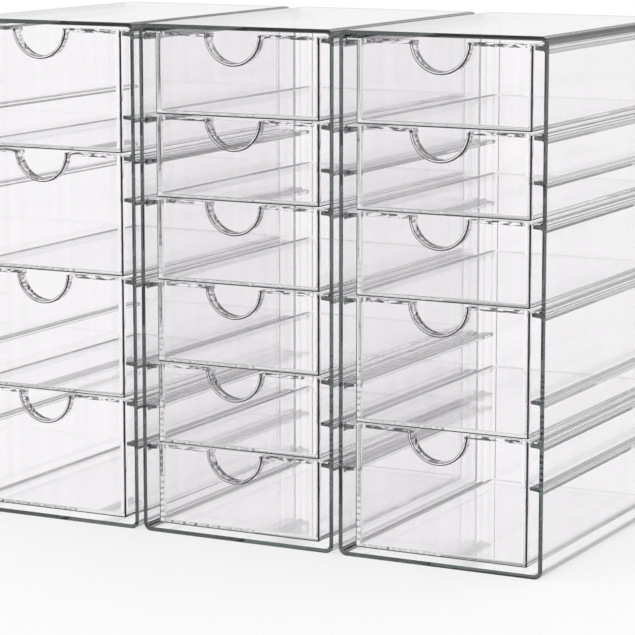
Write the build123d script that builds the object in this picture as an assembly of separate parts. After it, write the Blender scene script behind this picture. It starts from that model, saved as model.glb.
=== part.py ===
from build123d import *

import os

# Three clear moulded drawer towers for make-up and jewellery, standing side by side.
# Each tower is a one-piece open-fronted cabinet with ledges along both side walls, and
# clear drawers that hang in it by the wings of their rims and slide out to the front.
# The ledges stand at every level that a small or a large drawer needs, so each cabinet
# takes six small drawers, four large ones or a mixture.
#
# Frame: millimetres. The origin is on the table, in the middle of the set's width and of
# its depth from the finger pulls to the back walls. +X runs to the right as seen from the
# front, +Y to the back and +Z up.

# ---------------------------------------------------------------- cabinet sizes
cabinet_width = 127.0
cabinet_depth = 198.0
cabinet_height = 302.0
cabinet_wall = 2.5
cabinet_corner = 5.0      # outer radius of the four long edges
back_edge = 1.6           # bevel of the rim around the back wall
inner_back_corner = 3.0   # bevel inside, where the side walls meet the back wall
tower_gap = 3.5           # clear space between two towers on the table

# ---------------------------------------------------------------- ledge sizes
ledge_reach = 6.3         # from the side wall to the ledge's free edge
ledge_root = 2.7          # thickness at the side wall
ledge_tip = 2.0           # thickness at the free edge
ledge_set_back = 1.6      # front end of a ledge behind the cabinet's front rim

# ---------------------------------------------------------------- how the drawers fill a cabinet
head_room = 1.9           # above the top drawer
foot_room = 3.0           # below the bottom drawer
drawer_gap = 0.8          # between one drawer and the next
front_recess = 1.4        # drawer fronts behind the cabinet's front rim
back_room = 1.6           # behind a closed drawer
ledge_gap = 1.2           # between a drawer's side and the ledge's free edge
wing_side_gap = 0.6       # between a wing and the cabinet's side wall
wing_seat_gap = 0.1       # between a wing and the ledge that carries it

# A cabinet's height is divided in equal units, two for a small drawer and three for a
# large one, which is what lets both kinds share one set of ledges.
stack_units = 12
small_units = 2
large_units = 3

# ---------------------------------------------------------------- drawer sizes
drawer_wall = 2.0
drawer_floor = 2.0
drawer_front_corner = 0.8 # bevel of the two upright front edges
drawer_back_corner = 3.0  # outer radius of the two upright back edges
drawer_inner_corner = 2.2 # radius of the four upright edges inside
floor_bevel = 2.0         # between floor and walls inside
wing_thickness = 1.2
wing_front_corner = 1.0   # bevel of a wing's free corner at the front
wing_back_corner = 2.5    # and at the back, clear of the cabinet's inner corner

# ---------------------------------------------------------------- finger pull and front rim
notch_radius = 16.7       # half-round notch, centred on the drawer's top edge
collar_wall = 1.8         # the raised collar around the notch
collar_depth = 4.7        # how far the collar stands out of the front panel
rim_height = 2.4          # thickened strip inside the front panel's top edge
rim_depth = 1.6           # how far the strip stands in from the panel

# ---------------------------------------------------------------- worked out from the sizes above
inner_half_width = cabinet_width / 2 - cabinet_wall
stack_height = cabinet_height - 2 * cabinet_wall - head_room - foot_room
unit_pitch = (stack_height + drawer_gap) / stack_units
stack_top = cabinet_height - cabinet_wall - head_room

drawer_width = 2 * (inner_half_width - ledge_reach - ledge_gap)
drawer_length = cabinet_depth - cabinet_wall - front_recess - back_room
wing_span = 2 * (inner_half_width - wing_side_gap)

pull_stands_out = collar_depth - front_recess
cabinet_front = (pull_stands_out - cabinet_depth) / 2
drawer_front = cabinet_front + front_recess

ledge_units = sorted(set(range(0, stack_units, small_units)) | set(range(0, stack_units, large_units)))
ledge_drop = wing_thickness + wing_seat_gap

# Which drawers fill which tower, from the top down.
towers = {
    "left": [large_units] * 4,
    "middle": [small_units] * 6,
    "right": [small_units] * 3 + [large_units] * 2,
}
size_names = {small_units: "small", large_units: "large"}


def plan(width, length):
    """A rectangle from Y = 0 backwards, centred on X."""
    return Pos(0, length / 2) * Rectangle(width, length)


def ledge(side):
    """One ledge along a side wall, its flat top at Z = 0, from near the front to the back wall."""
    wall_x = side * (inner_half_width + cabinet_wall / 2)
    tip_x = side * (inner_half_width - ledge_reach)
    section = make_face(
        Polyline(
            (wall_x, 0),
            (tip_x, 0),
            (tip_x, -ledge_tip),
            (side * inner_half_width, -ledge_root),
            (wall_x, -ledge_root),
            close=True,
        )
    )
    run = cabinet_depth - cabinet_wall / 2 - ledge_set_back
    front_end = Pos(0, cabinet_front + ledge_set_back)
    return front_end * extrude(Plane.XZ * section, amount=run, dir=(0, 1, 0))


def cabinet():
    """The open-fronted cabinet with its ledges, standing on Z = 0 and centred on X."""
    middle = Pos(0, cabinet_height / 2)
    outline = middle * RectangleRounded(cabinet_width, cabinet_height, cabinet_corner)
    opening = middle * RectangleRounded(
        cabinet_width - 2 * cabinet_wall,
        cabinet_height - 2 * cabinet_wall,
        cabinet_corner - cabinet_wall,
    )
    front = Pos(0, cabinet_front)
    case = front * extrude(Plane.XZ * outline, amount=cabinet_depth, dir=(0, 1, 0))
    case = chamfer(case.faces().sort_by(Axis.Y)[-1].edges(), back_edge)
    reach = cabinet_depth - cabinet_wall
    inside = extrude(Plane.XZ * opening, amount=reach, dir=(0, 1, 0))
    inside_plan = plan(2 * inner_half_width, reach)
    inside_plan = chamfer(inside_plan.vertices().group_by(Axis.Y)[-1], inner_back_corner)
    inside &= extrude(inside_plan, amount=cabinet_height)
    case -= front * inside
    for units in ledge_units:
        ledge_top = stack_top - units * unit_pitch - ledge_drop
        for side in (-1, 1):
            case += Pos(0, 0, ledge_top) * ledge(side)
    return case


def half_disc(radius):
    """The half of a disc that hangs below its centre."""
    below = Pos(0, -radius) * Rectangle(2 * radius, 2 * radius)
    return Circle(radius) & below


def front_bar(section, start, end):
    """A section in X and Z drawn from one depth to another."""
    return Pos(0, start) * extrude(Plane.XZ * section, amount=end - start, dir=(0, 1, 0))


def drawer(units):
    """A hanging drawer, its front face at Y = 0 and its top rim at Z = 0, centred on X."""
    height = units * unit_pitch - drawer_gap
    mid_wall = drawer_wall / 2

    outside = plan(drawer_width, drawer_length)
    outside = chamfer(outside.vertices().group_by(Axis.Y)[0], drawer_front_corner)
    outside = fillet(outside.vertices().group_by(Axis.Y)[-1], drawer_back_corner)
    tub = extrude(outside, amount=-height)

    wings = plan(wing_span, drawer_length)
    wings = chamfer(wings.vertices().group_by(Axis.Y)[0], wing_front_corner)
    wings = chamfer(wings.vertices().group_by(Axis.Y)[-1], wing_back_corner)
    tub += extrude(wings, amount=-wing_thickness)

    inside = plan(drawer_width - 2 * drawer_wall, drawer_length - 2 * drawer_wall)
    inside = fillet(inside.vertices(), drawer_inner_corner)
    hollow = extrude(inside, amount=drawer_floor - height)
    hollow = chamfer(hollow.faces().sort_by(Axis.Z)[0].edges(), floor_bevel)
    tub -= Pos(0, drawer_wall) * hollow

    rim = Pos(0, -rim_height / 2) * Rectangle(drawer_width - drawer_wall, rim_height)
    tub += front_bar(rim, mid_wall, drawer_wall + rim_depth)
    tub += front_bar(half_disc(notch_radius + collar_wall), -collar_depth, mid_wall)
    return tub - front_bar(Circle(notch_radius), -2 * collar_depth, drawer_wall + 2 * rim_depth)


def write(shape, node):
    """Write one piece under its node's name."""
    export_step(shape, f"parts/{node}.step")


os.makedirs("parts", exist_ok=True)

case_shape = cabinet()
drawer_shapes = {units: drawer(units) for units in size_names}

for place, (tower, stack) in enumerate(towers.items()):
    tower_x = (place - (len(towers) - 1) / 2) * (cabinet_width + tower_gap)
    write(Pos(tower_x, 0, 0) * case_shape, f"{tower}_cabinet")
    top = stack_top
    for number, units in enumerate(stack, start=1):
        node = f"{tower}_{size_names[units]}_drawer_{number}"
        write(Pos(tower_x, drawer_front, top) * drawer_shapes[units], node)
        top -= units * unit_pitch
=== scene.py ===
"""Looks of three clear acrylic drawer towers that stand side by side on a table.

Each tower is a one-piece cabinet with ledges along its side walls and a stack of clear
drawers that hang on them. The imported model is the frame: every piece here takes its box
from the node that it stands for, in metres, and rides on that node's body.
"""

import logging
import math
from dataclasses import dataclass, field
from enum import Enum
from typing import Callable, Iterable, Sequence

import bmesh
import bpy
from mathutils import Matrix, Vector


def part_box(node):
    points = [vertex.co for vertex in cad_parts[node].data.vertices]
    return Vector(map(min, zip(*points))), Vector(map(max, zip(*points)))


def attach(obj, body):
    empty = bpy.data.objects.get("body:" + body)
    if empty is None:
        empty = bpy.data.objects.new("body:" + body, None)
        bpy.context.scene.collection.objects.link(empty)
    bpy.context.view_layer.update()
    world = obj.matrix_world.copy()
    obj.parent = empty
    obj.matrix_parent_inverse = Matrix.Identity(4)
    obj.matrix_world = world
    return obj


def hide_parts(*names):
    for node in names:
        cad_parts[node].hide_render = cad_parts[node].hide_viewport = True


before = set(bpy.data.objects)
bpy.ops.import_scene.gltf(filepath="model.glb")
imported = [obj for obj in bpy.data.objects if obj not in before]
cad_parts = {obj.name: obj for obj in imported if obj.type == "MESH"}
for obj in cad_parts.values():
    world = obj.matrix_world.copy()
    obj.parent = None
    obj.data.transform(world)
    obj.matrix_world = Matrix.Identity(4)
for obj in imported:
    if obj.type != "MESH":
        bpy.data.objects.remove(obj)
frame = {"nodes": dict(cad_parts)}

log = logging.getLogger("organiser")

MM = 0.001
BODY_OF_CABINETS = "cabinets"

NEAR = 1e-6  # points this close along an axis are level with each other
NEAR_ROUND = 1e-5  # a point this close to a radius lies on it, where flats make the round
MERGE = 2e-6  # corners this close become one
BEYOND = 5 * MM  # how far a shape that cuts stands out of the opening it makes
SHARP_ANGLE = math.radians(30)  # edges under this angle don't count as sharp
FLAT_ANGLE = math.radians(0.05)  # faces that meet under this angle become one
SMOOTH_ANGLE = math.radians(35)  # edges under this angle are shaded smooth
LARGE_FACES_WIN = 100  # weight of large faces over small ones in the shading
HEIGHT_DIGITS = 5  # heights in metres that agree to this many digits are one level
WHITE = (1.0, 1.0, 1.0, 1.0)

PointTest = Callable[[Vector], bool]
EdgeTest = Callable[[Vector, Vector], bool]


# ------------------------------------------------------------------ names and options
class Slot(Enum):
    """The two kinds of clear acrylic that the pieces are given."""

    CABINET = "cabinet_clear"
    DRAWER = "drawer_clear"


class Fuse(Enum):
    """How one closed shape is put to another."""

    ADD = "UNION"
    CUT = "DIFFERENCE"


@dataclass(frozen=True)
class Rounding:
    """A rounded edge: its radius in metres and how many flats make it."""

    radius: float
    steps: int


# ------------------------------------------------------------------ modelling by operators
def deselect_all() -> None:
    """Leave nothing selected and nothing in edit mode."""
    if bpy.context.object is not None and bpy.context.object.mode != "OBJECT":
        bpy.ops.object.mode_set(mode="OBJECT")
    bpy.ops.object.select_all(action="DESELECT")


def work_on(piece: bpy.types.Object) -> None:
    """Make a piece the only selected object and the active one.

    Args:
        piece: the piece to work on.
    """
    deselect_all()
    piece.select_set(True)
    bpy.context.view_layer.objects.active = piece


def add_block(name: str, low: Sequence[float], high: Sequence[float]) -> bpy.types.Object:
    """Add a block between two corners, as the start of a piece.

    Args:
        name: the new object's name.
        low: its lowest corner, in metres.
        high: its highest corner, in metres.

    Returns:
        The block, its place and size in its mesh.
    """
    deselect_all()
    low, high = Vector(low), Vector(high)
    bpy.ops.mesh.primitive_cube_add(size=1, location=(low + high) / 2)
    block = bpy.context.object
    block.name = name
    block.scale = high - low
    bpy.ops.object.transform_apply(location=True, rotation=True, scale=True)
    return block


def add_disc(
    name: str, centre: Sequence[float], radius: float, start: float, end: float, sides: int
) -> bpy.types.Object:
    """Add a round bar that lies along Y, as the start of a piece.

    Args:
        name: the new object's name.
        centre: X and Z of its axis.
        radius: its radius.
        start: Y of its front end.
        end: Y of its back end.
        sides: how many flats make its round side.

    Returns:
        The bar, its place in its mesh.
    """
    deselect_all()
    bpy.ops.mesh.primitive_cylinder_add(
        vertices=sides,
        radius=radius,
        depth=end - start,
        location=(centre[0], (start + end) / 2, centre[1]),
        rotation=(math.pi / 2, 0, 0),
    )
    bar = bpy.context.object
    bar.name = name
    bpy.ops.object.transform_apply(location=True, rotation=True, scale=True)
    return bar


def both(test: PointTest) -> EdgeTest:
    """Turn a test of a point into one that both ends of an edge have to pass."""
    return lambda a, b: test(a) and test(b)


def choose_edges(piece: bpy.types.Object, wanted: EdgeTest, sharp: bool = False) -> int:
    """Enter edit mode with only the wanted edges selected.

    Args:
        piece: the piece to edit.
        wanted: says of an edge's two ends whether it is chosen.
        sharp: leaves out edges whose faces lie almost in one plane.

    Returns:
        How many edges were chosen.
    """
    work_on(piece)
    bpy.ops.object.mode_set(mode="EDIT")
    bpy.ops.mesh.select_mode(type="EDGE")
    bpy.ops.mesh.select_all(action="DESELECT")
    mesh = bmesh.from_edit_mesh(piece.data)
    chosen = [e for e in mesh.edges if wanted(e.verts[0].co, e.verts[1].co)]
    if sharp:
        chosen = [e for e in chosen if e.calc_face_angle(0) > SHARP_ANGLE]
    for edge in chosen:
        edge.select_set(True)
    bmesh.update_edit_mesh(piece.data)
    return len(chosen)


def round_edges(
    piece: bpy.types.Object, wanted: EdgeTest, rounding: Rounding, sharp: bool = False
) -> None:
    """Round a piece's wanted edges.

    Args:
        piece: the piece to edit.
        wanted: says of an edge's two ends whether it is rounded.
        rounding: its radius and flats.
        sharp: leaves out edges whose faces lie almost in one plane.
    """
    if not choose_edges(piece, wanted, sharp):
        raise ValueError(f"{piece.name} has no such edge to round")
    bpy.ops.mesh.bevel(
        offset=rounding.radius, segments=rounding.steps, affect="EDGES", clamp_overlap=True
    )
    bpy.ops.object.mode_set(mode="OBJECT")


def fuse(piece: bpy.types.Object, tool: bpy.types.Object, how: Fuse) -> None:
    """Add a closed shape to a piece, or cut it out of it, and use the shape up.

    Args:
        piece: the piece that stays.
        tool: the shape, which is removed afterwards.
        how: whether the shape is added or cut.
    """
    work_on(piece)
    modifier = piece.modifiers.new("fuse", "BOOLEAN")
    modifier.object = tool
    modifier.operation = how.value
    modifier.solver = "EXACT"
    bpy.ops.object.modifier_apply(modifier=modifier.name)
    spent = tool.data
    bpy.data.objects.remove(tool)
    bpy.data.meshes.remove(spent)


def join(pieces: Iterable[bpy.types.Object]) -> bpy.types.Object:
    """Make several objects one.

    Args:
        pieces: the objects to join.

    Returns:
        The first of them, which the others are now part of.
    """
    pieces = list(pieces)
    deselect_all()
    for piece in pieces:
        piece.select_set(True)
    bpy.context.view_layer.objects.active = pieces[0]
    bpy.ops.object.join()
    return pieces[0]


def polish(piece: bpy.types.Object) -> None:
    """Clean a finished piece's faces and shade its roundings smooth and its flats flat.

    Args:
        piece: the piece to finish.
    """
    work_on(piece)
    bpy.ops.object.mode_set(mode="EDIT")
    bpy.ops.mesh.select_all(action="SELECT")
    bpy.ops.mesh.remove_doubles(threshold=MERGE)
    bpy.ops.mesh.dissolve_limited(angle_limit=FLAT_ANGLE)
    bpy.ops.mesh.select_all(action="SELECT")
    bpy.ops.mesh.normals_make_consistent(inside=False)
    bpy.ops.object.mode_set(mode="OBJECT")
    bpy.ops.object.shade_smooth_by_angle(angle=SMOOTH_ANGLE)
    weighted = piece.modifiers.new("weighted", "WEIGHTED_NORMAL")
    weighted.keep_sharp = True
    weighted.weight = LARGE_FACES_WIN
    bpy.ops.object.modifier_apply(modifier=weighted.name)


def open_edges(piece: bpy.types.Object) -> int:
    """Count the edges that don't have exactly two faces.

    Args:
        piece: the piece to look at.

    Returns:
        Their number, which is 0 for a closed piece.
    """
    mesh = bmesh.new()
    mesh.from_mesh(piece.data)
    count = sum(1 for edge in mesh.edges if len(edge.link_faces) != 2)
    mesh.free()
    return count


def copy_to(pattern: bpy.types.Object, name: str, shift: Vector) -> bpy.types.Object:
    """Copy a finished piece, with its own mesh, to another place.

    Args:
        pattern: the piece to copy.
        name: the copy's name.
        shift: how far the copy lies from the pattern.

    Returns:
        The copy, at the origin, its place in its mesh.
    """
    copy = pattern.copy()
    copy.data = pattern.data.copy()
    copy.name = name
    copy.data.name = name
    bpy.context.scene.collection.objects.link(copy)
    copy.data.transform(Matrix.Translation(shift))
    return copy


# ------------------------------------------------------------------ finishes, with shade painted on the edges
# the names of the two masks of shade painted on the edges, a plain and a broken one
LINE = "edge_line"
BROKEN_LINE = "broken_line"

# A mask says how much shade is painted on an edge: its base colour is darkened to stand in for the
# dark lines along the acrylic's edges. The eye's level goes with the 2.2nd root of the light,
# and light that passes a clear surface is tinted by the square root of its colour.
LEVEL_TO_TINT = 2.2 * 2

# painted reflection: darker streaks on the clear flats stand in for faint reflections
STREAK_SCALE = (160, 160, 6)  # per metre: fine across and long up and down
STREAK_CUT = (0.42, 0.66)  # where a streak starts and where it is full
# the dashes break up lines of shade painted on the edges
DASH_SIZE = (0.0045, 0.0045, 0.0009)
DASH_CUT = (0.46, 0.56)
UNIT = (0.0, 1.0)


def map_range(
    tree: bpy.types.NodeTree, given: tuple[float, float], result: tuple[float, float] = UNIT
) -> bpy.types.Node:
    """Add a node that turns one range of a value into another.

    Args:
        tree: the node tree it goes in.
        given: the value's range.
        result: the range that it becomes.

    Returns:
        The node.
    """
    node = tree.nodes.new("ShaderNodeMapRange")
    for socket, value in zip(("From Min", "From Max", "To Min", "To Max"), (*given, *result)):
        node.inputs[socket].default_value = value
    return node


def math_node(tree: bpy.types.NodeTree, operation: str) -> bpy.types.Node:
    """Add a Math node.

    Args:
        tree: the node tree it goes in.
        operation: what it does with its two values.

    Returns:
        The node.
    """
    node = tree.nodes.new("ShaderNodeMath")
    node.operation = operation
    return node


def painted_edge_shade_group() -> bpy.types.NodeTree:
    """Build the node group that paints shade on a moulding's edges and leaves its flats clear.

    Returns:
        The group. It puts out the surface colour: shade painted on the edges from the two edge masks,
        a faint streakiness of the clear flats painted in place of faint reflections, and a run of
        dashes for the masks that are broken up.
    """
    group = bpy.data.node_groups.new("painted_edge_shade_lines", "ShaderNodeTree")
    face = group.interface
    for name, kind, value in (
        ("Vector", "NodeSocketVector", (0, 0, 0)),
        ("Line", "NodeSocketFloat", 0),
        ("Broken Line", "NodeSocketFloat", 0),
        ("Clear", "NodeSocketColor", WHITE),
        ("Streak", "NodeSocketColor", WHITE),
        ("Dark", "NodeSocketColor", (0, 0, 0, 1)),
        ("Dash Size", "NodeSocketVector", DASH_SIZE),
        ("Shown", "NodeSocketFloat", 1),
    ):
        face.new_socket(name=name, in_out="INPUT", socket_type=kind).default_value = value
    face.new_socket(name="Color", in_out="OUTPUT", socket_type="NodeSocketColor")
    nodes, links = group.nodes, group.links
    given = nodes.new("NodeGroupInput").outputs
    result = nodes.new("NodeGroupOutput").inputs

    tall = nodes.new("ShaderNodeVectorMath")
    tall.operation = "MULTIPLY"
    tall.inputs[1].default_value = STREAK_SCALE
    streaks = nodes.new("ShaderNodeTexNoise")
    streaks.inputs["Scale"].default_value = 1
    streaks.inputs["Detail"].default_value = 2
    spread = map_range(group, STREAK_CUT)
    clear = nodes.new("ShaderNodeMix")
    clear.data_type = "RGBA"
    links.new(given["Vector"], tall.inputs[0])
    links.new(tall.outputs["Vector"], streaks.inputs["Vector"])
    links.new(streaks.outputs["Fac"], spread.inputs["Value"])
    links.new(spread.outputs["Result"], clear.inputs["Factor"])
    links.new(given["Clear"], clear.inputs["A"])
    links.new(given["Streak"], clear.inputs["B"])

    along = nodes.new("ShaderNodeVectorMath")
    along.operation = "DIVIDE"
    links.new(given["Vector"], along.inputs[0])
    links.new(given["Dash Size"], along.inputs[1])
    dashes = nodes.new("ShaderNodeTexNoise")
    dashes.inputs["Scale"].default_value = 1
    dashes.inputs["Detail"].default_value = 3
    cut = map_range(group, DASH_CUT)
    broken = math_node(group, "MULTIPLY")
    most = math_node(group, "MAXIMUM")
    links.new(along.outputs["Vector"], dashes.inputs["Vector"])
    links.new(dashes.outputs["Fac"], cut.inputs["Value"])
    links.new(cut.outputs["Result"], broken.inputs[0])
    links.new(given["Broken Line"], broken.inputs[1])

    shown = math_node(group, "MULTIPLY")
    left = math_node(group, "SUBTRACT")
    left.inputs[0].default_value = 1
    passed = math_node(group, "POWER")
    passed.inputs[1].default_value = LEVEL_TO_TINT
    lined = nodes.new("ShaderNodeMix")
    lined.data_type = "RGBA"
    links.new(given["Line"], shown.inputs[0])
    links.new(given["Shown"], shown.inputs[1])
    links.new(shown.outputs["Value"], most.inputs[0])
    links.new(broken.outputs["Value"], most.inputs[1])
    links.new(most.outputs["Value"], left.inputs[1])
    links.new(left.outputs["Value"], passed.inputs[0])
    links.new(passed.outputs["Value"], lined.inputs["Factor"])
    links.new(given["Dark"], lined.inputs["A"])
    links.new(clear.outputs["Result"], lined.inputs["B"])
    links.new(lined.outputs["Result"], result["Color"])
    return group


@dataclass(frozen=True)
class Acrylic:
    """Clear moulded acrylic: faintly tinted flats with painted reflection streaks, shade painted
    along its edges and a tint that grows with depth.

    The field from_inside is the share of a plain line of painted edge shade that shows from
    within the acrylic.
    """

    name: str
    depth_colour: tuple[float, float, float]
    depth_density: float
    from_inside: float
    clear: tuple[float, float, float] = (0.996, 0.991, 0.995)
    # streak is the colour of the painted reflection streaks on the flats
    streak: tuple[float, float, float] = (0.978, 0.97, 0.977)
    # dark is the colour of the shade painted along the edges
    dark: tuple[float, float, float] = (0.0, 0.0, 0.0)
    refraction: float = 1.49

    def build(self, lines: bpy.types.NodeTree) -> bpy.types.Material:
        """Make the material.

        Args:
            lines: the node group that darkens edges.

        Returns:
            The material.
        """
        material = bpy.data.materials.new(self.name)
        material.use_nodes = True
        tree = material.node_tree
        shader = tree.nodes["Principled BSDF"]
        shader.inputs["Roughness"].default_value = 0.0
        shader.inputs["IOR"].default_value = self.refraction
        shader.inputs["Transmission Weight"].default_value = 1.0
        # this group paints shade along the edges and reflection streaks on the flats
        colour = tree.nodes.new("ShaderNodeGroup")
        colour.node_tree = lines
        colour.inputs["Clear"].default_value = (*self.clear, 1)
        colour.inputs["Streak"].default_value = (*self.streak, 1)
        colour.inputs["Dark"].default_value = (*self.dark, 1)
        place = tree.nodes.new("ShaderNodeTexCoord")
        tree.links.new(place.outputs["Object"], colour.inputs["Vector"])
        side = tree.nodes.new("ShaderNodeNewGeometry")
        shown = map_range(tree, UNIT, (1.0, self.from_inside))
        tree.links.new(side.outputs["Backfacing"], shown.inputs["Value"])
        tree.links.new(shown.outputs["Result"], colour.inputs["Shown"])
        for attribute, socket in ((LINE, "Line"), (BROKEN_LINE, "Broken Line")):
            mask = tree.nodes.new("ShaderNodeAttribute")
            mask.attribute_name = attribute
            tree.links.new(mask.outputs["Fac"], colour.inputs[socket])
        tree.links.new(colour.outputs["Color"], shader.inputs["Base Color"])
        depth = tree.nodes.new("ShaderNodeVolumeAbsorption")
        depth.inputs["Color"].default_value = (*self.depth_colour, 1)
        depth.inputs["Density"].default_value = self.depth_density
        out = tree.nodes["Material Output"]
        tree.links.new(depth.outputs["Volume"], out.inputs["Volume"])
        return material


CABINET_ACRYLIC = Acrylic(
    name="clear_cabinet_acrylic",
    depth_colour=(0.42, 0.465, 0.452),
    depth_density=17.0,
    from_inside=1.0,
)
DRAWER_ACRYLIC = Acrylic(
    name="clear_drawer_acrylic",
    depth_colour=(0.9, 0.92, 0.91),
    depth_density=5.0,
    from_inside=0.2,
)


@dataclass(frozen=True)
class Face:
    """What the masks need to know of one face of a piece."""

    at: Vector
    out: Vector

    def turn(self, a: int, b: int) -> float:
        """The angle in degrees from axis a towards axis b at which the face looks out, 0 to 90."""
        return math.degrees(math.atan2(abs(self.out[b]), abs(self.out[a])))


def mark_lines(piece: bpy.types.Object, shade: Callable[[Face], tuple[float, float]]) -> None:
    """Write a piece's two masks of shade painted on its edges, face by face.

    Args:
        piece: the finished piece.
        shade: gives a face's plain and its broken painted darkness, each from 0 to 1.
    """
    mesh = piece.data
    for attribute in (LINE, BROKEN_LINE):
        mesh.attributes.new(attribute, "FLOAT", "CORNER")
    plain, broken = (mesh.attributes[attribute].data for attribute in (LINE, BROKEN_LINE))
    for polygon in mesh.polygons:
        line, dashed = shade(Face(polygon.center.copy(), polygon.normal.copy()))
        for corner in polygon.loop_indices:
            plain[corner].value = line
            broken[corner].value = dashed


# ------------------------------------------------------------------ the cabinet
@dataclass
class Cabinet:
    """A tower's open-fronted case, moulded in one with the ledges of its side walls.

    The fields that end in dark say how much shade is painted on a kind of edge, from 0 to 1.
    """

    wall: float = 2.5 * MM
    corner: Rounding = Rounding(5.0 * MM, 10)
    inner_corner_steps: int = 6
    back_edge: Rounding = Rounding(1.6 * MM, 4)
    inner_back_corner: Rounding = Rounding(4.5 * MM, 8)
    rim_edge: Rounding = Rounding(0.3 * MM, 3)
    ledge_reach: float = 6.3 * MM
    ledge_root: float = 2.7 * MM
    ledge_tip: float = 2.0 * MM
    ledge_set_back: float = 1.6 * MM
    ledge_edge: Rounding = Rounding(0.4 * MM, 3)
    root_fill: float = 1.3 * MM
    ledge_tops: list[float] = field(default_factory=list)

    # how much shade is painted on each kind of edge
    rim_dark: float = 0.35
    long_edge_dark: float = 1.0
    ledge_root_dark: float = 1.0
    inner_edge_dark: float = 0.6
    back_edge_dark: float = 0.45
    back_corner_dark: float = 0.85

    def build(self, node: str) -> bpy.types.Object:
        """Model the cabinet in the box of one node.

        Args:
            node: the node whose place and size it takes.

        Returns:
            The cabinet's moulding.
        """
        low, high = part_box(node)
        case = add_block("cabinet_pattern", low, high)
        round_edges(case, self.runs_back, self.corner)
        round_edges(case, both(lambda p: p.y > high.y - NEAR), self.back_edge)
        fuse(case, self.hollow(low, high), Fuse.CUT)
        fuse(case, self.ledges(low, high), Fuse.ADD)
        round_edges(case, both(lambda p: p.y < low.y + NEAR), self.rim_edge)
        polish(case)
        mark_lines(case, lambda face: self.shade(face, low, high))
        return case

    def runs_back(self, a: Vector, b: Vector) -> bool:
        """Whether an edge between two points runs from the front to the back."""
        return abs(a.y - b.y) > self.corner.radius

    def hollow(self, low: Vector, high: Vector) -> bpy.types.Object:
        """Shape the space inside the cabinet, to be cut out of the case.

        Args:
            low: the cabinet's lowest corner.
            high: its highest corner.

        Returns:
            The space as a closed shape that stands out of the front.
        """
        sides = Vector((self.wall, 0, self.wall))
        back = Vector((0, self.wall, 0))
        space = add_block("hollow", low + sides - Vector((0, BEYOND, 0)), high - sides - back)
        inner_radius = self.corner.radius - self.wall
        round_edges(space, self.runs_back, Rounding(inner_radius, self.inner_corner_steps))
        at_back = high.y - self.wall - NEAR

        def upright_at_back(a: Vector, b: Vector) -> bool:
            """Whether an edge stands upright where a side wall meets the back wall."""
            return min(a.y, b.y) > at_back and abs(a.z - b.z) > self.corner.radius

        round_edges(space, upright_at_back, self.inner_back_corner)
        return space

    def ledges(self, low: Vector, high: Vector) -> bpy.types.Object:
        """Shape all ledges of both side walls, their roots and back ends sunk in the walls.

        Args:
            low: the cabinet's lowest corner.
            high: its highest corner.

        Returns:
            The ledges as one object.
        """
        bars = []
        front = low.y + self.ledge_set_back
        back = high.y - self.wall / 2
        for top in self.ledge_tops:
            for side, wall_x in ((1, low.x + self.wall), (-1, high.x - self.wall)):
                root_x = wall_x - side * self.wall / 2
                tip_x = wall_x + side * self.ledge_reach
                bar = add_block(
                    "ledge",
                    (min(root_x, tip_x), front, top - self.ledge_root),
                    (max(root_x, tip_x), back, top),
                )
                self.taper(bar, tip_x, top)
                self.fill_root(bar, wall_x, side, top)
                bars.append(bar)
        return join(bars)

    def taper(self, bar: bpy.types.Object, tip_x: float, top: float) -> None:
        """Thin a ledge towards its free edge and round the edges that are free.

        Args:
            bar: the ledge as a plain bar.
            tip_x: where its free edge is.
            top: the height of its flat top.
        """

        def at_tip(p: Vector) -> bool:
            """Whether a point lies in the ledge's free face."""
            return abs(p.x - tip_x) < NEAR

        under = top - self.ledge_root + NEAR
        choose_edges(bar, both(lambda p: at_tip(p) and p.z < under))
        bpy.ops.transform.translate(value=(0, 0, self.ledge_root - self.ledge_tip))
        bpy.ops.object.mode_set(mode="OBJECT")
        round_edges(bar, lambda a, b: at_tip(a) and at_tip(b) and self.runs_back(a, b), self.ledge_edge)

    def fill_root(self, bar: bpy.types.Object, wall_x: float, side: int, top: float) -> None:
        """Slope a ledge's underside down to the wall, as a mould fills that corner.

        Args:
            bar: the tapered ledge.
            wall_x: the inner face of the side wall.
            side: 1 for a ledge that stands out towards +X, -1 for one towards -X.
            top: the height of its flat top.
        """
        choose_edges(bar, lambda a, b: True)
        start = wall_x + side * self.root_fill
        bpy.ops.mesh.bisect(plane_co=(start, 0, 0), plane_no=(1, 0, 0))
        bpy.ops.object.mode_set(mode="OBJECT")
        sunk = self.wall / 2
        root_x, under = wall_x - side * sunk, top - self.ledge_root + NEAR
        choose_edges(bar, both(lambda p: abs(p.x - root_x) < NEAR and p.z < under))
        bpy.ops.transform.translate(value=(0, 0, -self.root_fill - sunk))
        bpy.ops.object.mode_set(mode="OBJECT")

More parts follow.
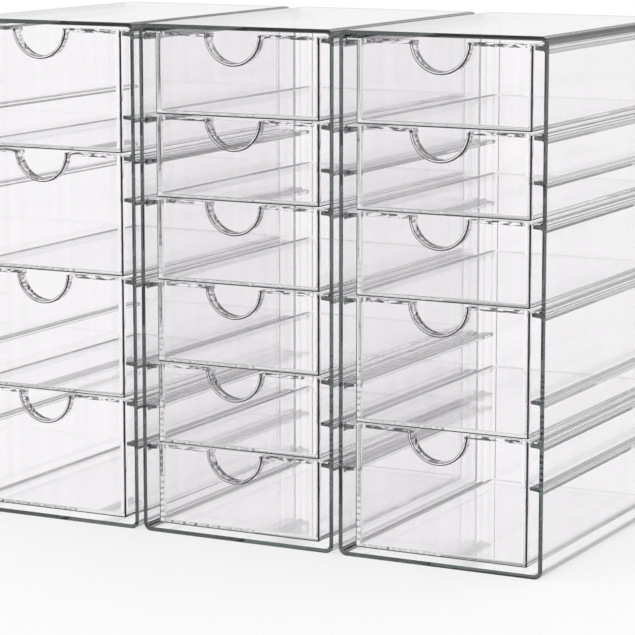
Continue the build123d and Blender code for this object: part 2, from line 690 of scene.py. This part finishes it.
    def shade(self, face: Face, low: Vector, high: Vector) -> tuple[float, float]:
        """How much shade is painted on the cabinet's acrylic at one face.

        Args:
            face: the face.
            low: the cabinet's lowest corner.
            high: its highest corner.

        Returns:
            The plain and the broken darkness.
        """
        out, at = face.out, face.at
        inner_low, inner_high = low.x + self.wall, high.x - self.wall
        half = self.wall / 2
        rim_bevel = at.y < low.y + self.rim_edge.radius and -0.98 < out.y < -0.2
        if rim_bevel:
            return self.rim_dark, 0.0
        leans = abs(out.y) < 0.1 and abs(out.x) > 0.04 and abs(out.z) > 0.04
        beside = at.x < inner_low - half or at.x > inner_high + half
        outside = beside or at.z < half or at.z > high.z - half
        if leans and outside:
            turn = face.turn(2, 0)
            next_to_flat, halfway = turn < 18, 36 < turn < 54
            return (self.long_edge_dark if next_to_flat or halfway else 0.0), 0.0
        if leans and inner_low < at.x < inner_high and abs(out.z) < 0.98:
            near_wall = min(at.x - inner_low, inner_high - at.x) < self.ledge_reach / 2
            return (self.ledge_root_dark if near_wall and out.z < 0 else self.inner_edge_dark), 0.0
        back_bevel = 0.5 < out.y < 0.9
        if back_bevel:
            return self.back_edge_dark, 0.0
        starts_back_corner = out.y < -0.04 and 0.9 < abs(out.x) < 0.9995 and abs(out.z) < 0.04
        return (self.back_corner_dark if starts_back_corner else 0.0), 0.0


# ------------------------------------------------------------------ the drawers
@dataclass
class Drawer:
    """A clear drawer that hangs by the wings of its rim, with a half-round finger pull.

    The fields that end in dark or dashes say how much shade is painted on a kind of edge, from
    0 to 1, as a plain or as a broken line.
    """

    wall: float = 2.0 * MM
    base: float = 2.0 * MM
    front_corner: Rounding = Rounding(0.8 * MM, 2)
    back_corner: Rounding = Rounding(3.0 * MM, 8)
    inner_corner: Rounding = Rounding(2.2 * MM, 6)
    foot_edge: Rounding = Rounding(0.8 * MM, 3)
    floor_cove: Rounding = Rounding(0.8 * MM, 6)
    wing_reach: float = 6.9 * MM
    wing_thickness: float = 1.2 * MM
    wing_front_corner: Rounding = Rounding(1.0 * MM, 4)
    wing_back_corner: Rounding = Rounding(2.5 * MM, 5)
    wing_edge: Rounding = Rounding(0.3 * MM, 2)
    seat_gap: float = 0.1 * MM
    top_edge: Rounding = Rounding(0.2 * MM, 1)
    notch_radius: float = 16.7 * MM
    notch_edge: Rounding = Rounding(0.4 * MM, 2)
    collar_wall: float = 1.8 * MM
    collar_depth: float = 4.7 * MM
    collar_edge: Rounding = Rounding(0.7 * MM, 3)
    rim_height: float = 2.4 * MM
    rim_depth: float = 1.6 * MM
    rim_ends: float = 2.0 * MM
    rim_corner: Rounding = Rounding(1.44 * MM, 4)
    rim_edge: Rounding = Rounding(0.4 * MM, 2)
    round_sides: int = 128
    spare: float = 0.5 * MM
    margin: float = 0.1 * MM

    # how much shade is painted on each kind of edge
    front_corner_dark: float = 0.95
    foot_dark: float = 1.0
    cove_dark: float = 0.35
    inner_corner_dark: float = 0.35
    back_corner_dark: float = 0.3
    top_edge_dark: float = 0.3
    wing_front_dark: float = 0.85
    wing_side_dark: float = 0.5
    rim_back_dashes: float = 0.7
    rim_edge_dashes: float = 0.85
    collar_front_dark: float = 1.0
    collar_side_dark: float = 0.05
    notch_end_dark: float = 0.5
    notch_end_dashes: float = 0.8
    notch_dashes: float = 0.35

    def build(self, node: str, name: str) -> bpy.types.Object:
        """Model the drawer in the box of one node.

        Args:
            node: the node whose place and size it takes.
            name: the pattern's name.

        Returns:
            The drawer's moulding.
        """
        low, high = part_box(node)
        front = low.y + self.collar_depth
        top = high.z + self.spare
        middle = (low.x + high.x) / 2
        tub_low = Vector((low.x + self.wing_reach, front, low.z))
        tub_high = Vector((high.x - self.wing_reach, high.y, top))

        drawer = self.tub(name, tub_low, tub_high)
        fuse(drawer, self.wings(low, high, front), Fuse.ADD)
        fuse(drawer, self.inside(tub_low, tub_high), Fuse.CUT)
        fuse(drawer, self.strip(tub_low, tub_high, high.z), Fuse.ADD)
        fuse(drawer, self.collar(middle, high.z, front), Fuse.ADD)
        notch_end = front + self.wall + 2 * self.rim_depth
        notch = add_disc(
            "notch", (middle, high.z), self.notch_radius, low.y - self.wall, notch_end, self.round_sides
        )
        fuse(drawer, notch, Fuse.CUT)
        above = self.notch_radius + self.collar_wall + self.spare
        slab_low = Vector((low.x, low.y, high.z)) - Vector((above, above, 0))
        slab_high = Vector((high.x, high.y, high.z)) + Vector((above, above, above))
        fuse(drawer, add_block("slab", slab_low, slab_high), Fuse.CUT)
        self.soften(drawer, middle, high.z, low.y)
        polish(drawer)
        mark_lines(drawer, lambda face: self.shade(face, low, high))
        return drawer

    def tub(self, name: str, low: Vector, high: Vector) -> bpy.types.Object:
        """Shape the tub's outside, with its upright corners and the edge of its foot rounded.

        Args:
            name: the new object's name.
            low: the tub's lowest corner.
            high: its highest corner.

        Returns:
            The tub as a solid shape.
        """
        tub = add_block(name, low, high)
        middle = (low.y + high.y) / 2

        def upright(a: Vector, b: Vector) -> bool:
            """Whether an edge stands upright."""
            return abs(a.z - b.z) > self.back_corner.radius

        round_edges(tub, lambda a, b: upright(a, b) and a.y < middle, self.front_corner)
        round_edges(tub, lambda a, b: upright(a, b) and a.y > middle, self.back_corner)
        round_edges(tub, both(lambda p: p.z < low.z + NEAR), self.foot_edge)
        return tub

    def wings(self, low: Vector, high: Vector, front: float) -> bpy.types.Object:
        """Shape the plate whose sides stand out of the tub and hang on the ledges.

        Args:
            low: the drawer's lowest corner.
            high: its highest corner.
            front: Y of the front panel's face.

        Returns:
            The plate as a solid shape.
        """
        top = high.z + self.spare
        plate = add_block("wings", (low.x, front, high.z - self.wing_thickness), (high.x, high.y, top))
        middle = (front + high.y) / 2

        def upright(a: Vector, b: Vector) -> bool:
            """Whether an edge stands upright."""
            return abs(a.z - b.z) > self.spare

        round_edges(plate, lambda a, b: upright(a, b) and a.y < middle, self.wing_front_corner)
        round_edges(plate, lambda a, b: upright(a, b) and a.y > middle, self.wing_back_corner)
        under = high.z - self.wing_thickness + NEAR
        round_edges(plate, both(lambda p: p.z < under), self.wing_edge)
        return plate

    def inside(self, low: Vector, high: Vector) -> bpy.types.Object:
        """Shape the tub's inside, to be cut out, with a cove between floor and walls.

        Args:
            low: the tub's lowest corner.
            high: its highest corner.

        Returns:
            The inside as a closed shape that stands out of the top.
        """
        wall = Vector((self.wall, self.wall, 0))
        floor = Vector((0, 0, self.base))
        space = add_block("inside", low + wall + floor, high - wall + Vector((0, 0, BEYOND)))

        def upright(a: Vector, b: Vector) -> bool:
            """Whether an edge stands upright."""
            return abs(a.z - b.z) > self.back_corner.radius

        round_edges(space, upright, self.inner_corner)
        lowest = low.z + self.base + NEAR
        round_edges(space, both(lambda p: p.z < lowest), self.floor_cove)
        return space

    def strip(self, low: Vector, high: Vector, rim: float) -> bpy.types.Object:
        """Shape the thicker strip inside the front panel's top edge.

        Args:
            low: the tub's lowest corner.
            high: its highest corner.
            rim: Z of the drawer's rim.

        Returns:
            The strip, its front sunk in the panel.
        """
        inner = low.y + self.wall
        back, under = inner + self.rim_depth, rim - self.rim_height
        ends = self.wall + self.rim_ends
        start = inner - self.wall / 2
        strip = add_block("strip", (low.x + ends, start, under), (high.x - ends, back, high.z))

        def back_corner(a: Vector, b: Vector) -> bool:
            """Whether an edge is one of the strip's upright back corners."""
            return min(a.y, b.y) > back - NEAR and abs(a.z - b.z) > self.rim_depth

        round_edges(strip, back_corner, self.rim_corner)
        lower_back = both(lambda p: p.y > back - NEAR and p.z < under + NEAR)
        round_edges(strip, lower_back, self.rim_edge)
        return strip

    def collar(self, middle: float, top: float, front: float) -> bpy.types.Object:
        """Shape the round boss in front of the panel that the notch is cut through.

        Args:
            middle: X of the boss's axis.
            top: Z of its axis, which is the rim.
            front: Y of the front panel's face.

        Returns:
            The boss as a solid shape.
        """
        radius = self.notch_radius + self.collar_wall
        start, end = front - self.collar_depth, front + self.wall / 2
        boss = add_disc("collar", (middle, top), radius, start, end, self.round_sides)
        round_edges(boss, both(lambda p: p.y < start + NEAR), self.collar_edge)
        return boss

    def soften(self, drawer: bpy.types.Object, middle: float, top: float, face: float) -> None:
        """Take the sharpness off the rim's top edges and off both ends of the notch.

        Args:
            drawer: the drawer in one piece.
            middle: X of the notch's axis.
            top: Z of the rim.
            face: Y of the collar's face.
        """

        def round_notch(p: Vector) -> bool:
            """Whether a point lies on the notch's round surface."""
            return abs(math.hypot(p.x - middle, p.z - top) - self.notch_radius) < NEAR_ROUND

        back = face + self.collar_depth + self.wall + self.rim_depth
        for y in (face, back):
            notch_end = both(lambda p: round_notch(p) and abs(p.y - y) < NEAR)
            round_edges(drawer, notch_end, self.notch_edge, sharp=True)
        round_edges(drawer, both(lambda p: abs(p.z - top) < NEAR), self.top_edge, sharp=True)

    def shade(self, face: Face, low: Vector, high: Vector) -> tuple[float, float]:
        """How much shade is painted on the drawer's acrylic at one face.

        Args:
            face: the face.
            low: the drawer's lowest corner.
            high: its highest corner.

        Returns:
            The plain and the broken darkness.
        """
        out, at = face.out, face.at
        front = low.y + self.collar_depth
        strip_back = front + self.wall + self.rim_depth
        off = math.hypot(at.x - (low.x + high.x) / 2, at.z - high.z)
        in_collar = off < self.notch_radius + self.collar_wall + self.margin
        below_top = at.z < high.z - self.top_edge.radius
        if in_collar and at.y < strip_back + self.margin and below_top:
            return self.shade_notch(face, off)
        behind = strip_back - self.margin
        on_strip = behind < at.y < behind + self.wall and at.z > high.z - self.rim_height
        if out.y > 0.99 and on_strip:
            return 0.0, self.rim_back_dashes
        flat = max(abs(out.x), abs(out.y), abs(out.z)) > 0.9995
        if flat:
            return 0.0, 0.0
        upright, looks_down = abs(out.z) < 0.15, out.z < -0.15
        if upright and out.y < -0.15 and at.y < front + self.front_corner.radius:
            return self.front_corner_dark, 0.0
        if looks_down and at.z < low.z + self.foot_edge.radius:
            return self.foot_dark, 0.0
        if out.z > 0 and at.z < low.z + self.base + self.floor_cove.radius:
            return (self.cove_dark if out.z > 0.98 else 0.0), 0.0
        if upright and out.y < -0.93 and at.y > high.y - self.wall - self.inner_corner.radius:
            return self.inner_corner_dark, 0.0
        if upright and out.y > 0.15 and 40 < face.turn(1, 0) < 50:
            return self.back_corner_dark, 0.0
        if at.z > high.z - self.top_edge.radius:
            return self.top_edge_dark, 0.0
        inside = low.x + self.wing_reach + self.wall < at.x < high.x - self.wing_reach - self.wall
        if inside and looks_down and at.z > high.z - self.rim_height - self.margin:
            return 0.0, self.rim_edge_dashes
        if looks_down and at.z > high.z - self.wing_thickness - self.margin:
            return (self.wing_front_dark if out.y < -0.3 else self.wing_side_dark), 0.0
        return 0.0, 0.0

    def shade_notch(self, face: Face, off: float) -> tuple[float, float]:
        """How much shade is painted on the collar and the notch at one face.

        Args:
            face: the face.
            off: its distance from the notch's axis.

        Returns:
            The plain and the broken darkness.
        """
        faces_front = abs(face.out.y)
        if faces_front > 0.97:
            return 0.0, 0.0
        if faces_front > 0.2:
            outer = off > self.notch_radius + self.collar_wall / 2
            return (self.collar_front_dark, 0.0) if outer else (self.notch_end_dark, self.notch_end_dashes)
        in_notch = off < self.notch_radius + self.notch_edge.radius
        return (0.0, self.notch_dashes) if in_notch else (self.collar_side_dark, 0.0)


# ------------------------------------------------------------------ the studio
@dataclass
class Studio:
    """A white table and backdrop, soft light all round and the camera."""

    eye: tuple[float, float, float] = (0.7844, -1.51005, 0.4028)
    turned_left: float = 27.363
    looks_down: float = 9.461
    lens: float = 160.04
    table_drop: float = 0.2 * MM
    table_reach: float = 12.0
    table_gloss: float = 0.04
    table_roughness: float = 0.02
    table_glow: float = 0.7
    open_light: float = 1.03
    overhead_light: float = 0.95
    overhead_from: float = 0.3
    overhead_to: float = 0.9
    reflected_light: float = 0.95
    bounces: int = 64
    sees_to: float = 100.0

    def build(self) -> None:
        """Set up the table, the light and the camera."""
        self.table()
        self.world()
        self.camera()
        scene = bpy.context.scene
        scene.view_settings.view_transform = "Standard"
        scene.cycles.max_bounces = self.bounces
        scene.cycles.glossy_bounces = self.bounces
        scene.cycles.transmission_bounces = self.bounces
        scene.cycles.transparent_max_bounces = self.bounces

    def table(self) -> None:
        """Lay the pale table that the towers stand on."""
        deselect_all()
        bpy.ops.mesh.primitive_plane_add(size=2 * self.table_reach, location=(0, 0, -self.table_drop))
        table = bpy.context.object
        table.name = "table"
        bpy.ops.object.transform_apply(location=True, rotation=True, scale=True)
        material = bpy.data.materials.new("white_table")
        material.use_nodes = True
        tree = material.node_tree
        tree.nodes.clear()
        out = tree.nodes.new("ShaderNodeOutputMaterial")
        path = tree.nodes.new("ShaderNodeLightPath")
        matt = tree.nodes.new("ShaderNodeBsdfDiffuse")
        matt.inputs["Color"].default_value = WHITE
        mirror = tree.nodes.new("ShaderNodeBsdfGlossy")
        mirror.inputs["Roughness"].default_value = self.table_roughness
        sheen = tree.nodes.new("ShaderNodeMixShader")
        sheen.inputs["Fac"].default_value = self.table_gloss
        white = tree.nodes.new("ShaderNodeEmission")
        lifted = tree.nodes.new("ShaderNodeMixShader")
        lifted.inputs["Fac"].default_value = self.table_glow
        glow = tree.nodes.new("ShaderNodeEmission")
        seen = tree.nodes.new("ShaderNodeMixShader")
        tree.links.new(matt.outputs["BSDF"], sheen.inputs[1])
        tree.links.new(mirror.outputs["BSDF"], sheen.inputs[2])
        tree.links.new(self.reflected(tree, path), glow.inputs["Strength"])
        tree.links.new(path.outputs["Is Camera Ray"], seen.inputs["Fac"])
        tree.links.new(glow.outputs["Emission"], seen.inputs[1])
        tree.links.new(sheen.outputs["Shader"], lifted.inputs[1])
        tree.links.new(white.outputs["Emission"], lifted.inputs[2])
        tree.links.new(lifted.outputs["Shader"], seen.inputs[2])
        tree.links.new(seen.outputs["Shader"], out.inputs["Surface"])
        table.data.materials.append(material)

    def reflected(self, tree: bpy.types.NodeTree, path: bpy.types.Node) -> bpy.types.NodeSocket:
        """Dim the light a little for every ray that has been reflected at least once.

        Args:
            tree: the node tree of the table or the world.
            path: its Light Path node.

        Returns:
            The socket that carries the light's share.
        """
        share = map_range(tree, UNIT, (1.0, self.reflected_light))
        tree.links.new(path.outputs["Glossy Depth"], share.inputs["Value"])
        return share.outputs["Result"]

    def world(self) -> None:
        """Light the scene evenly from all round, and a little less from overhead."""
        world = bpy.data.worlds.new("studio")
        bpy.context.scene.world = world
        world.cycles.sampling_method = "NONE"
        world.use_nodes = True
        tree = world.node_tree
        tree.nodes.clear()
        out = tree.nodes.new("ShaderNodeOutputWorld")
        path = tree.nodes.new("ShaderNodeLightPath")
        plain = tree.nodes.new("ShaderNodeBackground")
        plain.inputs["Strength"].default_value = self.open_light
        light = tree.nodes.new("ShaderNodeBackground")
        mix = tree.nodes.new("ShaderNodeMixShader")
        for background in (plain, light):
            background.inputs["Color"].default_value = WHITE
        place = tree.nodes.new("ShaderNodeTexCoord")
        axes = tree.nodes.new("ShaderNodeSeparateXYZ")
        overhead = (self.overhead_from, self.overhead_to)
        height = map_range(tree, overhead, (1.0, self.overhead_light))
        strength = math_node(tree, "MULTIPLY")
        straight = math_node(tree, "ADD")
        straight.use_clamp = True
        tree.links.new(place.outputs["Generated"], axes.inputs["Vector"])
        tree.links.new(axes.outputs["Z"], height.inputs["Value"])
        tree.links.new(height.outputs["Result"], strength.inputs[0])
        tree.links.new(self.reflected(tree, path), strength.inputs[1])
        tree.links.new(strength.outputs["Value"], light.inputs["Strength"])
        tree.links.new(path.outputs["Is Camera Ray"], straight.inputs[0])
        tree.links.new(path.outputs["Diffuse Depth"], straight.inputs[1])
        tree.links.new(straight.outputs["Value"], mix.inputs["Fac"])
        tree.links.new(light.outputs["Background"], mix.inputs[1])
        tree.links.new(plain.outputs["Background"], mix.inputs[2])
        tree.links.new(mix.outputs["Shader"], out.inputs["Surface"])

    def camera(self) -> None:
        """Stand the camera where the photograph was taken from."""
        data = bpy.data.cameras.new("camera")
        data.lens = self.lens
        data.clip_end = self.sees_to
        camera = bpy.data.objects.new("camera", data)
        camera.location = self.eye
        camera.rotation_euler = (math.radians(90 - self.looks_down), 0, math.radians(self.turned_left))
        bpy.context.scene.collection.objects.link(camera)
        bpy.context.scene.camera = camera


# ------------------------------------------------------------------ the set of towers
class TowerSet:
    """The three towers, each a cabinet with its drawers."""

    def __init__(self) -> None:
        """Read from the frame which nodes are cabinets and which are drawers."""
        nodes = frame["nodes"]
        self.cabinets = sorted(n for n in nodes if n.endswith("_cabinet"))
        self.drawers = {
            kind: sorted(n for n in nodes if f"_{kind}_drawer_" in n) for kind in ("small", "large")
        }
        lines = painted_edge_shade_group()
        self.finishes = {
            Slot.CABINET: CABINET_ACRYLIC.build(lines),
            Slot.DRAWER: DRAWER_ACRYLIC.build(lines),
        }

    def ledge_tops(self, drawer: Drawer) -> list[float]:
        """The heights at which any tower's drawers hang, which every cabinet has a ledge at."""
        rims = {round(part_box(n)[1].z, HEIGHT_DIGITS) for group in self.drawers.values() for n in group}
        return [rim - drawer.wing_thickness - drawer.seat_gap for rim in sorted(rims)]

    def stand_in(self, pattern: bpy.types.Object, source: str, node: str, body: str, slot: Slot) -> None:
        """Put a copy of a pattern in the place of one node.

        Args:
            pattern: the finished piece.
            source: the node that the pattern was modelled in.
            node: the node that the copy stands for.
            body: the body that it rides on.
            slot: which of the two acrylics the copy gets.
        """
        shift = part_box(node)[0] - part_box(source)[0]
        piece = copy_to(pattern, f"{node}_moulding", shift)
        piece.data.materials.clear()
        piece.data.materials.append(self.finishes[slot])
        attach(piece, body)
        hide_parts(node)
        faces = len(piece.data.polygons)
        log.info("%s: %d faces, %d open edges, rides on %s", piece.name, faces, open_edges(piece), body)

    def build(self) -> None:
        """Model each kind of moulding once and copy it to every node."""
        drawer = Drawer()
        cabinet = Cabinet(ledge_tops=self.ledge_tops(drawer))
        pattern = cabinet.build(self.cabinets[0])
        for node in self.cabinets:
            self.stand_in(pattern, self.cabinets[0], node, BODY_OF_CABINETS, Slot.CABINET)
        bpy.data.objects.remove(pattern)
        for kind, nodes in self.drawers.items():
            pattern = drawer.build(nodes[0], f"{kind}_drawer_pattern")
            for node in nodes:
                self.stand_in(pattern, nodes[0], node, node, Slot.DRAWER)
            bpy.data.objects.remove(pattern)


def main() -> None:
    """Build the towers and the studio around them, and log each piece's faces and open edges."""
    logging.basicConfig(level=logging.INFO, format="%(name)s: %(message)s")
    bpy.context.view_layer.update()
    TowerSet().build()
    Studio().build()


if __name__ == "__main__":
    main()
